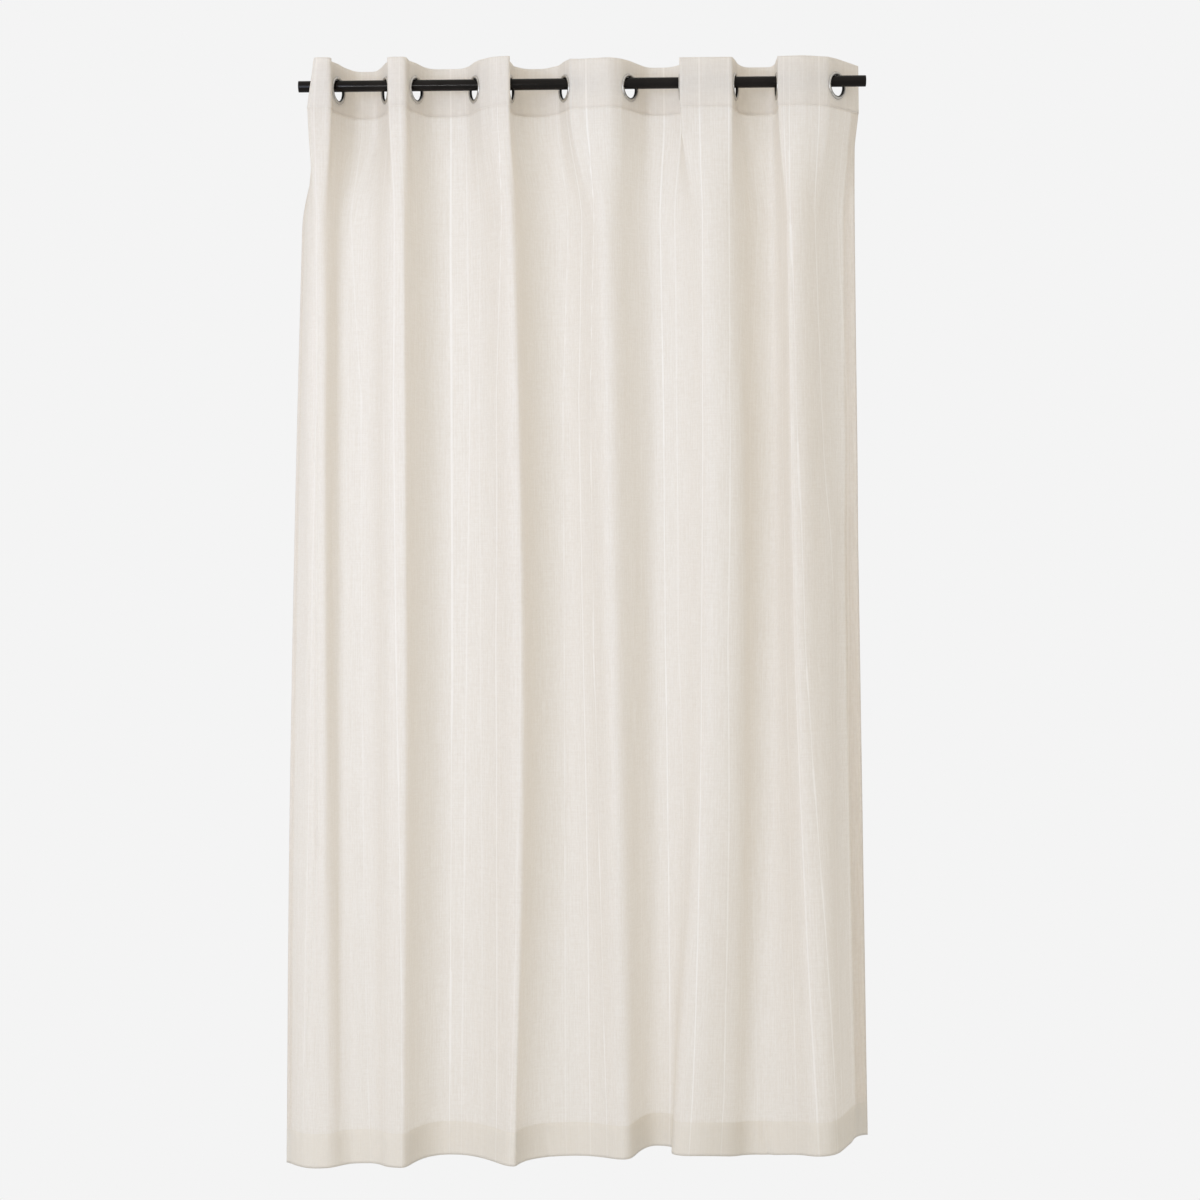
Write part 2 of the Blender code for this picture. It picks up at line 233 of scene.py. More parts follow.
def at_shares(points, shares):
    """Points at the given shares of a polyline's length."""
    along = travel(points)
    wanted = np.asarray(shares) * along[-1]
    return np.stack([np.interp(wanted, along, points[:, i]) for i in (0, 1)], axis=1)


def rounded(start, corner, end):
    """Two sides of a corner, with a parabola in its place."""
    before, after = np.linalg.norm(start - corner), np.linalg.norm(end - corner)
    reach = min(CORNER_REACH, CORNER_LIMIT * before, CORNER_LIMIT * after)
    first = corner + (start - corner) * reach / before
    last = corner + (end - corner) * reach / after
    t = np.linspace(0, 1, CORNER_STEPS + 1)[:, None]
    arc = (1 - t) ** 2 * first + 2 * (1 - t) * t * corner + t ** 2 * last
    return np.vstack([start, arc, end])


def eyelet_in_plan(index, z):
    """Centre of the cloth at an eyelet's place, and the cloth's direction there."""
    row = EYELETS[index]
    centre = np.array([row.x * MM + row.lean * (z - EYELET_Z), 0.0])
    turn = math.radians(row.turn)
    side = -1 if index % 2 == 0 else 1
    return centre, np.array([math.cos(turn), side * math.sin(turn)])


def fold_between(index, z):
    """The fold that follows an eyelet, as its halves left and right of its face's middle.

    It is as deep as the cloth between the two eyelets makes it.
    """
    centre, way = eyelet_in_plan(index, z)
    next_centre, next_way = eyelet_in_plan(index + 1, z)
    start = centre + way * FLAT_HALF_LENGTH
    end = next_centre - next_way * FLAT_HALF_LENGTH
    side = -1 if index % 2 == 0 else 1
    face = FACES[index]
    left = face.left * MM + EYELETS[index].lean * (z - EYELET_Z)
    right = face.right * MM + EYELETS[index + 1].lean * (z - EYELET_Z)
    wanted = EYELET_PITCH - 2 * FLAT_HALF_LENGTH
    low, high = LEAST_DEPTH, MOST_DEPTH
    for _ in range(DEPTH_HALVINGS):
        depth = (low + high) / 2
        left_corner = np.array([left, side * (depth - face.slope * MM / 2)])
        right_corner = np.array([right, side * (depth + face.slope * MM / 2)])
        middle = (left_corner + right_corner) / 2
        left_half = rounded(start, left_corner, middle)
        right_half = rounded(middle, right_corner, end)
        if travel(left_half)[-1] + travel(right_half)[-1] < wanted:
            low = depth
        else:
            high = depth
    return left_half, right_half


def heading_flanks(z):
    """The heading seen from above, as one polyline from fold middle to fold middle.

    Each flank runs straight through its eyelet. Its flat's ends are given as well, as
    shares of its length.
    """
    folds = [fold_between(index, z) for index in range(len(EYELETS) - 1)]
    flanks = []
    flats = []
    for index in range(len(EYELETS)):
        centre, way = eyelet_in_plan(index, z)
        margin, flat = way * EDGE_MARGIN, way * FLAT_HALF_LENGTH
        before = folds[index - 1][1] if index else np.array([centre - margin, centre - flat])
        is_last = index == len(EYELETS) - 1
        after = np.array([centre + flat, centre + margin]) if is_last else folds[index][0]
        flanks.append(np.vstack([before, after]))
        along = travel(flanks[-1])
        flats.append((along[len(before) - 1] / along[-1], along[len(before)] / along[-1]))
    return flanks, flats


def through_levels(values, z):
    """Smooth curve in height through the three columns of the fold table."""
    levels = (HIGH_Z, MIDDLE_Z, HEM_Z)
    total = 0.0
    for i, value in enumerate(values):
        share = 1.0
        for j, level in enumerate(levels):
            if j != i:
                share *= (z - level) / (levels[i] - level)
        total += value * share
    return total * MM


def body_flanks(z):
    """The relaxed folds of the panel seen from above, at one height."""
    lines = []
    for row in FOLDS:
        x = through_levels((row.x_high, row.x_middle, row.x_hem), z)
        y = through_levels((row.y_high, row.y_middle, row.y_hem), z)
        lines.append((x, y))
    lower = smoothstep((MIDDLE_Z - z) / (MIDDLE_Z - HEM_Z))
    t = np.linspace(0, 1, CURVE_STEPS + 1)
    flanks = []
    for index, row in enumerate(FLANKS):
        (x_start, y_start), (x_end, y_end) = lines[index], lines[index + 1]
        wrap = (row.wrap_body + (row.wrap_hem - row.wrap_body) * lower) * MM
        sweep = (row.sweep_body + (row.sweep_hem - row.sweep_body) * lower) * MM
        x = x_start + (x_end - x_start) * t
        x += wrap * np.sin(2 * math.pi * t) - sweep * np.sin(math.pi * t)
        y = y_start + (y_end - y_start) * (1 - np.cos(math.pi * t)) / 2
        flanks.append(np.stack([x, y], axis=1))
    return flanks


# ---- tables of fine detail

# Levels at which the thread table is read, from the heading down.
THREAD_LEVELS = (-130 * MM, -610 * MM, -1100 * MM, -1980 * MM)
THREAD_OVERSHOOT = 40 * MM      # the table's outermost gaps reach this far past the cloth

# One row for each thick white warp thread: its place along the cloth at the four levels
# (mm) and how strongly it shows.
Thread = namedtuple("Thread", "high upper middle low strength")
THREADS = [
    Thread(139, 133, 116, 88, 0.5),
    Thread(303, 342, 343, 338, 0.4),
    Thread(408, 418, 410, 398, 0.35),
    Thread(453, 447, 452, 469, 0.7),
    Thread(474, 468, 474, 490, 0.3),
    Thread(541, 524, 526, 529, 0.25),
    Thread(637, 637, 637, 632, 0.85),
    Thread(669, 672, 662, 653, 0.5),
    Thread(706, 691, 691, 700, 0.35),
    Thread(785, 743, 731, 742, 0.85),
    Thread(804, 795, 793, 781, 0.4),
    Thread(995, 963, 954, 935, 0.5),
    Thread(1038, 1005, 1001, 1000, 0.85),
    Thread(1088, 1047, 1036, 1053, 1.0),
    Thread(1222, 1223, 1213, 1203, 0.3),
    Thread(1280, 1285, 1287, 1304, 1.0),
    Thread(1318, 1317, 1319, 1370, 0.5),
    Thread(1415, 1399, 1396, 1420, 1.0),
    Thread(1471, 1461, 1458, 1489, 0.8),
    Thread(1535, 1479, 1495, 1536, 0.25),
    Thread(1573, 1542, 1544, 1579, 0.25),
    Thread(1670, 1644, 1658, 1668, 0.6),
    Thread(1710, 1717, 1708, 1721, 0.8),
    Thread(1720, 1727, 1733, 1759, 0.85),
    Thread(1780, 1799, 1827, 1787, 0.9),
    Thread(1854, 1881, 1880, 1863, 0.4),
]

# One row for each crease that a soft trough or ridge makes: its place along the cloth and
# its height at its two ends, how far its middle bows to the right, the half width of its
# bell-shaped section, and how far it stands out (all in mm).
Crease = namedtuple("Crease", "name along_top z_top along_low z_low bow width out")
CREASES = [
    Crease("left groove", 140, -440, 137, -1500, -2, 3.5, -2.4),
    Crease("left groove's end", 138, -1440, 92, -1870, 4, 3.5, -2.2),
    Crease("left groove's neighbour", 124, -440, 125, -1010, 0, 3.0, -0.7),
    Crease("short neighbour", 112, -1030, 97, -1165, 0, 3.0, -0.8),
    Crease("left ridge", 171, -380, 169, -1560, 2, 8.0, 0.9),
    Crease("left hollow", 280, -400, 229, -2060, 14, 12.0, -2.2),
    Crease("lower left ridge", 98, -1450, 84, -2040, 0, 4.0, 0.9),
    Crease("first crest's dip", 148, -380, 148, -2050, 0, 18.0, -4.0),
    Crease("first valley's rise", 311, -330, 311, -2050, 0, 24.0, 7.0),
    Crease("fifth crest's shoulder", 1490, -600, 1520, -2500, 0, 28.0, 5.0),
    Crease("fifth crest's lower shoulder", 1514, -1350, 1520, -2700, 0, 26.0, 4.0),
    Crease("fifth valley's side", 1550, -600, 1580, -2500, 0, 28.0, -5.0),
    Crease("fifth valley's lower side", 1574, -1350, 1580, -2700, 0, 26.0, -4.0),
    Crease("right flank ridge", 1830, -800, 1700, -2400, 0, 24.0, 7.0),
    Crease("right flank hollow", 1886, -800, 1776, -2400, 0, 28.0, -6.0),
    Crease("right edge turned back", 1905, 200, 1905, -2500, 0, 36.0, -9.0),
    Crease("hem fold 1", 887, -2026, 901, -2110, 0, 3.0, -1.5),
    Crease("hem fold 2", 1591, -2022, 1604, -2100, 0, 4.0, -3.0),
]
CREASE_FADE = 0.12              # share of a crease's height over which it fades at an end

# One row for each layer of the cloth's slow unevenness: a wave's width and height on the
# cloth, its depth, and the seed of its noise.
WRINKLES = [
    (70 * MM, 520 * MM, 2.0 * MM, 1.7),
    (28 * MM, 260 * MM, 0.6 * MM, 4.1),
]
CALM_HEIGHT = 60 * MM           # below the heading, where all relief grows to its full depth

# Ripples along the hem's seam.
SEAM_REACH = 14 * MM            # above and below the seam
SEAM_RIPPLE = 22 * MM           # width of a ripple
SEAM_RIPPLE_HEIGHT = 0.9 * MM
SEAM_SEED = 7.3


# ---- the cloth's surface

def flank_shares(flat):
    """Where a flank's columns lie, so that some fall on the ends of its flat."""
    first = np.linspace(0, flat[0], CURVE_COLUMNS + 1)
    middle = np.linspace(flat[0], flat[1], FLAT_COLUMNS + 1)
    last = np.linspace(flat[1], 1, CURVE_COLUMNS + 1)
    return np.concatenate([first, middle[1:], last[1:]])


def join_flanks(flanks, shares):
    """All flanks' columns in one row, each shared line of two flanks taken once."""
    columns = [at_shares(flank, share) for flank, share in zip(flanks, shares)]
    return np.vstack([column[bool(k):] for k, column in enumerate(columns)])


@lru_cache(maxsize=None)
def heading_plan(z):
    """Columns of the heading seen from above, and each flank's shares."""
    flanks, flats = heading_flanks(z)
    shares = [flank_shares(flat) for flat in flats]
    return join_flanks(flanks, shares), shares


def plan_row(z):
    """The cloth's columns seen from above, at one height."""
    tight, shares = heading_plan(max(z, HEADING_BOTTOM_Z))
    loose = join_flanks(body_flanks(z), shares)
    relaxed = smoothstep((HEADING_BOTTOM_Z - z) / BLEND_HEIGHT)
    return tight * (1 - relaxed) + loose * relaxed


def places_along():
    """Each column's place along the flat cloth."""
    return travel(heading_plan(HEADING_BOTTOM_Z)[0])


def column_lifts():
    """How far the hem is lifted at each column."""
    _, shares = heading_plan(HEADING_BOTTOM_Z)
    lifts = []
    for k, share in enumerate(shares):
        start, end = FOLDS[k].lift * MM, FOLDS[k + 1].lift * MM
        lifts.extend(start + (end - start) * smoothstep(value) for value in share[bool(k):])
    return np.array(lifts)


def grid_normals(grid):
    """Unit normals of a grid of points, facing the front where the cloth lies flat."""
    along = np.gradient(grid, axis=1)
    down = np.gradient(grid, axis=0)
    normals = np.cross(down, along)
    return normals / np.linalg.norm(normals, axis=2, keepdims=True)


def crease_relief(along, heights):
    """How far the listed creases push each point of the cloth out."""
    relief = np.zeros(along.shape)
    for crease in CREASES:
        share = (crease.z_top * MM - heights) / ((crease.z_top - crease.z_low) * MM)
        inside = np.clip(share, 0, 1)
        centre = crease.along_top + (crease.along_low - crease.along_top) * inside
        centre = (centre + 4 * crease.bow * inside * (1 - inside)) * MM
        section = np.exp(-0.5 * ((along - centre) / (crease.width * MM)) ** 2)
        ends = np.clip(np.minimum(share, 1 - share) / CREASE_FADE + 0.5, 0, 1)
        relief += crease.out * MM * section * ends * ends * (3 - 2 * ends)
    return relief


def soft_noise(along, heights, across, down, seed):
    """Smooth noise on the cloth, with one wave in about across by down metres."""
    flat = zip((along / across).ravel(), (heights / down).ravel())
    values = [noise.noise(Vector((a, h, seed))) for a, h in flat]
    return np.array(values).reshape(along.shape)


def wrinkle_relief(along, heights):
    """Slow unevenness of hanging voile, and the ripples that the hem's seam draws."""
    relief = np.zeros(along.shape)
    for across, down, height, seed in WRINKLES:
        relief += height * soft_noise(along, heights, across, down, seed)
    near_seam = np.exp(-0.5 * ((heights - HEM_Z - HEM_DEPTH) / SEAM_REACH) ** 2)
    ripples = soft_noise(along, heights, SEAM_RIPPLE, SEAM_REACH, SEAM_SEED)
    return relief + SEAM_RIPPLE_HEIGHT * near_seam * ripples


def thread_fields(along, heights):
    """Number of the thick thread at each point, fractions in between, and the gap there."""
    levels = np.array(THREAD_LEVELS)[::-1]
    lines = []
    for row in THREADS:
        values = np.array([row.low, row.middle, row.upper, row.high]) * MM
        lines.append(np.interp(heights[:, 0], levels, values))
    lines = np.array(lines)
    edge = np.full(lines.shape[1], places_along()[-1])
    lines = np.vstack([0 * edge - THREAD_OVERSHOOT, lines, edge + THREAD_OVERSHOOT])
    numbers = np.arange(len(lines))
    place = np.empty(along.shape)
    gap = np.empty(along.shape)
    for i in range(along.shape[0]):
        place[i] = np.interp(np.abs(along[i]), lines[:, i], numbers)
        gaps = np.diff(lines[:, i])
        gap[i] = gaps[np.clip(place[i].astype(int), 0, len(gaps) - 1)]
    return place, gap


# ---- meshes

FLAT_MAP = "flat_cloth"         # UV map of places on the flat cloth


def add_object(mesh):
    """Put a mesh into the scene as an object of its name, shaded smooth."""
    created = bpy.data.objects.new(mesh.name, mesh)
    bpy.context.scene.collection.objects.link(created)
    mesh.shade_smooth()
    return created


def mesh_of(name, vertices, faces):
    """Mesh from arrays of points and faces."""
    mesh = bpy.data.meshes.new(name)
    mesh.from_pydata([tuple(point) for point in vertices], [], faces)
    mesh.update()
    return mesh


def grid_faces(rows, columns):
    """Quads over a grid of points that are numbered row by row."""
    faces = []
    for i in range(rows - 1):
        for j in range(columns - 1):
            corner = i * columns + j
            faces.append((corner, corner + columns, corner + columns + 1, corner + 1))
    return faces


def lay_flat_map(mesh, along, heights):
    """Store each vertex's place on the flat cloth, as a UV map in metres and thread fields."""
    place, gap = thread_fields(along, heights)
    for name, values in (("thread_place", place), ("thread_gap", gap)):
        field = mesh.attributes.new(name, "FLOAT", "POINT")
        field.data.foreach_set("value", values.ravel())
    corners = np.empty(len(mesh.loops), int)
    mesh.loops.foreach_get("vertex_index", corners)
    flat = np.stack([along.ravel(), heights.ravel() - HEM_Z], axis=1)[corners]
    mesh.uv_layers.new(name=FLAT_MAP).data.foreach_set("uv", flat.ravel())


def folded_over(count, turned, at_start, at_end):
    """Row or column numbers with the ends turned over, and how far each is turned."""
    numbers = list(range(count))
    layer = [0.0] * count
    if at_start:
        numbers = list(range(turned, 0, -1)) + [0] + numbers
        layer = [1.0] * turned + [0.5] + layer
    if at_end:
        numbers += [count - 1] + list(range(count - 2, count - 2 - turned, -1))
        layer += [0.5] + [1.0] * turned
    return np.array(numbers), np.array(layer)


def make_panel():
    """The voile below the heading, with its bottom hem and side hems turned to the back."""
    along = places_along()
    lap = HEADING_BOTTOM_Z + HEADING_LAP
    hem_top = HEM_Z + HEM_DEPTH
    above = np.linspace(lap, hem_top, PANEL_ROWS - HEM_ROWS)
    hem = np.linspace(hem_top, HEM_Z, HEM_ROWS + 1)[1:]
    flat_heights = np.concatenate([above, hem])
    lifts = column_lifts()
    rows = []
    for height in flat_heights:
        lower = min(max((lap - height) / (lap - HEM_Z), 0), 1)
        rows.append(np.column_stack([plan_row(height), height + lifts * lower]))
    grid = np.array(rows)
    heights = np.repeat(flat_heights[:, None], len(along), axis=1)
    places = np.repeat(along[None, :], len(flat_heights), axis=0)
    relief = crease_relief(places, heights) + wrinkle_relief(places, heights)
    relief *= np.clip((HEADING_BOTTOM_Z - heights) / CALM_HEIGHT, 0, 1)
    relief += HEM_LEDGE * np.clip((hem_top - heights) / LEDGE_HEIGHT, 0, 1)
    grid = grid + grid_normals(grid) * relief[:, :, None]

    row_numbers, row_layer = folded_over(len(flat_heights), HEM_ROWS, False, True)
    side_columns = int(np.searchsorted(along, SIDE_HEM))
    column_numbers, column_layer = folded_over(len(along), side_columns, True, True)
    normals = grid_normals(grid)
    take = np.ix_(row_numbers, column_numbers)
    depth = row_layer[:, None] * HEM_FOLD + column_layer[None, :] * SIDE_FOLD
    points = grid[take] - normals[take] * depth[:, :, None]
    mesh = mesh_of("curtain_cloth", points.reshape(-1, 3), grid_faces(*points.shape[:2]))

    flat = flat_heights[row_numbers]
    flat = np.where(row_layer > 0.5, 2 * HEM_Z - flat, flat)
    side = along[column_numbers]
    side[:side_columns] *= -1
    side[-side_columns:] = 2 * along[-1] - side[-side_columns:]
    lay_flat_map(mesh, *np.meshgrid(side, flat))
    return add_object(mesh), grid, normals, along, flat_heights


def sagged(height, depth):
    """Height of a point of the heading, which sags more the deeper its fold is there."""
    upper = (height - HEADING_BOTTOM_Z) / HEADING_DEPTH
    return height - CREST_DROOP * np.abs(depth) * upper


def heading_point(index, beside, height):
    """Point of the heading's middle surface near an eyelet, on the flat cloth there."""
    centre, way = eyelet_in_plan(index, height)
    x, y = centre + way * beside
    return np.array([x, y, sagged(height, y)])


def heading_rows():
    """Heights of the heading's rows, and the row on the lower edge of an eyelet's square."""
    low, high = EYELET_Z - FLAT_HALF_LENGTH, EYELET_Z + FLAT_HALF_LENGTH
    below = np.linspace(HEADING_BOTTOM_Z, low, HEADING_ROWS_BELOW + 1)
    beside = np.linspace(low, high, FLAT_COLUMNS + 1)
    above = np.linspace(high, TOP_Z, HEADING_ROWS_ABOVE + 1)
    return np.concatenate([below, beside[1:], above[1:]]), len(below) - 1


def square_loop(row, column, steps):
    """Grid places round a square from its lower left corner at the given row and column."""
    loop = [(row, column + i) for i in range(steps)]
    loop += [(row + i, column + steps) for i in range(steps)]
    loop += [(row + steps, column + steps - i) for i in range(steps)]
    return loop + [(row + steps - i, column) for i in range(steps)]


def make_heading():
    """The doubled band, folded over at its top edge, with a hole at each eyelet."""
    heights, first_row = heading_rows()
    along = places_along()
    plans = [plan_row(height) for height in heights]
    grid = np.array([np.column_stack([plan, sagged(height, plan[:, 1])])
                     for height, plan in zip(heights, plans)])
    normals = -grid_normals(grid)
    rows, columns = grid.shape[:2]
    per_flank = 2 * CURVE_COLUMNS + FLAT_COLUMNS
    points = []
    flat = []                   # each point's place along the flat cloth, and its height
    faces = []

    def layer(side):
        """One face of the band: side 1 is the front and -1 the back."""
        start = len(points)
        points.extend((grid + normals * HEADING_HALF * side).reshape(-1, 3))
        flat.extend(zip(np.tile(along, rows), np.repeat(heights, columns)))
        for i in range(rows - 1):
            for j in range(columns - 1):
                beside = j % per_flank - CURVE_COLUMNS
                if not (0 <= i - first_row < FLAT_COLUMNS and 0 <= beside < FLAT_COLUMNS):
                    a = start + i * columns + j
                    faces.append((a, a + 1, a + columns + 1, a + columns))
        for k in range(len(EYELETS)):
            first_column = k * per_flank + CURVE_COLUMNS
            loop = square_loop(first_row, first_column, FLAT_COLUMNS)
            outer = [start + i * columns + j for i, j in loop]
            place = k * EYELET_PITCH + EDGE_MARGIN
            corner = [(along[j] - place, heights[i] - EYELET_Z) for i, j in loop]
            push = normals[first_row, first_column + FLAT_COLUMNS // 2] * HEADING_HALF * side
            for ring in range(1, HOLE_RINGS + 1):
                inner = []
                for beside, above in corner:
                    reach = math.hypot(beside, above)
                    wanted = reach + (HOLE_RADIUS - reach) * ring / HOLE_RINGS
                    beside, above = beside * wanted / reach, above * wanted / reach
                    inner.append(len(points))
                    points.append(heading_point(k, beside, EYELET_Z + above) + push)
                    flat.append((place + beside, EYELET_Z + above))
                for i in range(len(loop)):
                    j = (i + 1) % len(loop)
                    faces.append((outer[i], outer[j], inner[j], inner[i]))
                outer = inner
        return start

    front = layer(1)
    back = layer(-1)
    top = (rows - 1) * columns
    ridge = len(points)
    points.extend(grid[-1] + np.array([0, 0, HEADING_HALF * TOP_ROUNDING]))
    flat.extend((place, TOP_Z) for place in along)
    for j in range(columns - 1):
        faces.append((front + top + j, front + top + j + 1, ridge + j + 1, ridge + j))
        faces.append((ridge + j, ridge + j + 1, back + top + j + 1, back + top + j))
    for j in (0, columns - 1):
        for i in range(rows - 1):
            a, b = i * columns + j, (i + 1) * columns + j
            faces.append((front + a, front + b, back + b, back + a))

    mesh = mesh_of("heading_cloth", points, faces)
    shell = bmesh.new()
    shell.from_mesh(mesh)
    loose = [vertex for vertex in shell.verts if not vertex.link_faces]
    kept = [vertex.index for vertex in shell.verts if vertex.link_faces]
    bmesh.ops.delete(shell, geom=loose, context="VERTS")
    bmesh.ops.recalc_face_normals(shell, faces=shell.faces)
    shell.to_mesh(mesh)
    shell.free()
    lay_flat_map(mesh, *np.array(flat)[kept].T[:, :, None])
    return add_object(mesh)


def make_stitching(name, points, normals):
    """A row of short stitches along a line of points, each a slim spindle of thread."""
    steps = np.linalg.norm(np.diff(points, axis=0), axis=1)
    along = np.concatenate([[0], np.cumsum(steps)])
    count = int(along[-1] / STITCH_PITCH)
    starts = (np.arange(count) + STITCH_START) * STITCH_PITCH
    vertices = []
    faces = []

    def at(distance, values):
        return np.stack([np.interp(distance, along, values[:, i]) for i in range(3)], axis=-1)

    for start in starts:
        a, b = at(start, points), at(start + STITCH_LENGTH, points)
        out = at(start + STITCH_LENGTH / 2, normals)
        side = np.cross((b - a) / np.linalg.norm(b - a), out)
        first = len(vertices)
        vertices += [a, b]
        for share in (STITCH_TAPER, 1 - STITCH_TAPER):
            centre = a * (1 - share) + b * share + out * STITCH_THICKNESS * STITCH_RISE
            for turn in range(STITCH_SIDES):
                angle = 2 * math.pi * turn / STITCH_SIDES
                reach = out * math.sin(angle) + side * math.cos(angle)
                vertices.append(centre + reach * STITCH_THICKNESS / 2)
        for turn in range(STITCH_SIDES):
            near = first + 2 + turn
            near_next = first + 2 + (turn + 1) % STITCH_SIDES
            far, far_next = near + STITCH_SIDES, near_next + STITCH_SIDES
            faces += [(first, near_next, near), (near, near_next, far_next, far)]
            faces.append((first + 1, far, far_next))
    return add_object(mesh_of(name, vertices, faces))


def turned_mesh(name, profile, sides, materials=None):
    """Closed profile of (radius, height) points turned round the Z axis.

    materials gives each stretch of the profile its material number.
    """
    vertices = []
    faces = []
    corners = len(profile)
    for step in range(sides):
        angle = 2 * math.pi * step / sides
        for radius, height in profile:
            vertices.append((radius * math.cos(angle), radius * math.sin(angle), height))
    for step in range(sides):
        this, following = step * corners, (step + 1) % sides * corners
        for i in range(corners):
            j = (i + 1) % corners
            faces.append((this + i, following + i, following + j, this + j))
    mesh = mesh_of(name, vertices, faces)
    if materials:
        mesh.polygons.foreach_set("material_index", materials * sides)
    return mesh


def eyelet_axes(index):
    """Placement of an eyelet: its local Z is the bore's axis and its local Y points up."""
    centre, way = eyelet_in_plan(index, EYELET_Z)
    along = Vector((way[0], way[1], 0.0))
    up = Vector((EYELETS[index].lean, 0.0, 1.0))
    axis = along.cross(up).normalized()
    rotation = Matrix((along, axis.cross(along), axis)).transposed()
    return Matrix.Translation((centre[0], centre[1], EYELET_Z)) @ rotation.to_4x4()


def eyelet_section():
    """Section of an eyelet, two crowned rings on a sleeve, and its stretches' materials."""
    middle = (FLANGE_RADIUS + SLEEVE_RADIUS) / 2
    half = (FLANGE_RADIUS - SLEEVE_RADIUS) / 2
    crown = []
    for step in range(CROWN_STEPS + 1):
        angle = math.pi * step / CROWN_STEPS
        radius = middle - half * math.cos(angle)
        crown.append((radius, FLANGE_FACE + CROWN_RISE * math.sin(angle)))
    sleeve = [
        (BORE_RADIUS, -SLEEVE_LIP * SLEEVE_STRAIGHT),
        (BORE_RADIUS, SLEEVE_LIP * SLEEVE_STRAIGHT),
        (BORE_RADIUS + SLEEVE_BEVEL, SLEEVE_LIP),
    ]
    neck = SLEEVE_RADIUS + NECK_WALL
    section = sleeve + crown + [(neck, FLANGE_FACE), (neck, -FLANGE_FACE)]
    section += [(radius, -height) for radius, height in reversed(crown)]
    section += [(BORE_RADIUS + SLEEVE_BEVEL, -SLEEVE_LIP)]
    slots = [1, 1, 1] + [0] * (2 * len(crown) + 1) + [1, 1]
    return section, slots


def rod_section():
    """Section of the tube rod with a plug in each end, as (radius, height) from its middle."""
    half = ROD_LENGTH / 2
    inside = ROD_RADIUS - ROD_WALL
    plug = half - PLUG_DEPTH
    end = [
        (0.0, plug),
        (inside - PLUG_GAP, plug),
        (inside - PLUG_GAP, plug - PLUG_GROOVE),
        (inside, plug - PLUG_GROOVE),
        (inside, half - MOUTH_BEVEL),
        (inside + MOUTH_BEVEL, half),
    ]
    for step in range(ROD_EDGE_STEPS + 1):
        angle = math.pi / 2 * step / ROD_EDGE_STEPS
        radius = ROD_RADIUS - ROD_EDGE + ROD_EDGE * math.sin(angle)
        end.append((radius, half - ROD_EDGE + ROD_EDGE * math.cos(angle)))
    tube = [(ROD_RADIUS, half * share) for share in ROD_RINGS]
    return end + tube + [(radius, -height) for radius, height in reversed(end)]


# ---- materials

# Colours are linear light. Waves of noise are given as their width and height on the
# flat cloth, or as their number in a metre.

# Voile: the threads' two colours, the share of light that is scattered through the cloth,
# and the share of the surface that threads cover.
PANEL_VOILE = {"light": (0.905, 0.885, 0.85), "dark": (0.835, 0.80, 0.745),
               "through": 0.42, "opaque": 0.96, "hem": True}
HEADING_VOILE = {"light": (0.92, 0.91, 0.885), "dark": (0.865, 0.845, 0.81),
                 "through": 0.45, "opaque": 1.0}
VOILE_SURFACE = {"Roughness": 0.85, "Specular IOR Level": 0.15,
                 "Sheen Weight": 0.12, "Sheen Roughness": 0.6}
THROUGH_TINT = (1.0, 0.93, 0.82)   # light that comes through the cloth is warmed
# Painted shade: the hem, where the cloth lies doubled, is coloured darker and warmer, as its
# two layers let less light through from behind.
HEM_SHADE_COLOUR = (0.83, 0.77, 0.65)
HEM_SHADE_SHARE = 0.5
HEM_THROUGH = 0.2               # less light comes through the hem's two layers

# One row for each layer of the weave: wave, detail and roughness of its noise, and its
# weight in the shade.
Weave = namedtuple("Weave", "name across along detail roughness weight")
WEAVE = [
    Weave("fine warp", 0.9 * MM, 30 * MM, 2.0, 0.5, 0.2),
    Weave("warp", 2.4 * MM, 90 * MM, 3.0, 0.65, 0.42),
    Weave("weft", 45 * MM, 1.6 * MM, 2.0, 0.5, 0.2),
    Weave("mottle", 5 * MM, 8 * MM, 2.0, 0.5, 0.22),
]
SHADE_RANGE = (0.35, 0.7)       # from the threads' dark colour to their light one
WEAVE_RELIEF = 0.2 * MM
WEFT_RELIEF = 0.3               # the weft's share in it

# Strays, white slubs and brown flecks: wave, the range of the noise over which one
# appears, and colour.
WHITE_THREAD = (0.97, 0.96, 0.94)
STRAYS = [
    (1.6 * MM, 60 * MM, 0.66, 0.78, WHITE_THREAD),
    (2.2 * MM, 7 * MM, 0.76, 0.84, (0.62, 0.52, 0.39)),
]
STRAY_STRENGTH = 0.35

# Thick white threads.
THREAD_HALF = 1.0 * MM          # half a thread's width
THREAD_SOFT = 0.8 * MM          # its soft edge
SLUB_WAVE = (20 * MM, 35 * MM)
SLUB_RANGE = (0.25, 0.5)
SLUB_LEAST = 0.65               # a thread's strength where it is thinnest

# Nickel.
NICKEL_COLOURS = (0.50, 0.48, 0.45), (0.64, 0.62, 0.58)
NICKEL_ROUGHNESS = (0.30, 0.45)
NICKEL_PATCHES = 180
TURNING_PITCH = 0.35 * MM
TURNING_DEPTH = 0.01 * MM
TURNING_STRENGTH = 0.4

# Black paint and plastic.
ROD_PAINT = {"colour": (0.008, 0.0065, 0.0055), "roughness": 0.13, "grain": 0.5 * MM}
SLEEVE_BLACK = {"colour": (0.006, 0.006, 0.006), "roughness": 0.4, "grain": 0.4 * MM}
BLACK_SPECULAR = 0.13
WEAR_PATCHES = 14
WEAR_LIGHTER = 1.7              # a worn patch's colour against the plain one
WEAR_ROUGHNESS = (0.85, 1.2)    # range of the roughness, as shares of the plain one
PEEL_DEPTH = 0.02 * MM
PEEL_STRENGTH = 0.3

# Sewing thread.
COTTON_COLOURS = (0.78, 0.73, 0.65), (0.88, 0.85, 0.79)
COTTON_SURFACE = {"Roughness": 0.6, "Sheen Weight": 0.2}
COTTON_TWIST = 900


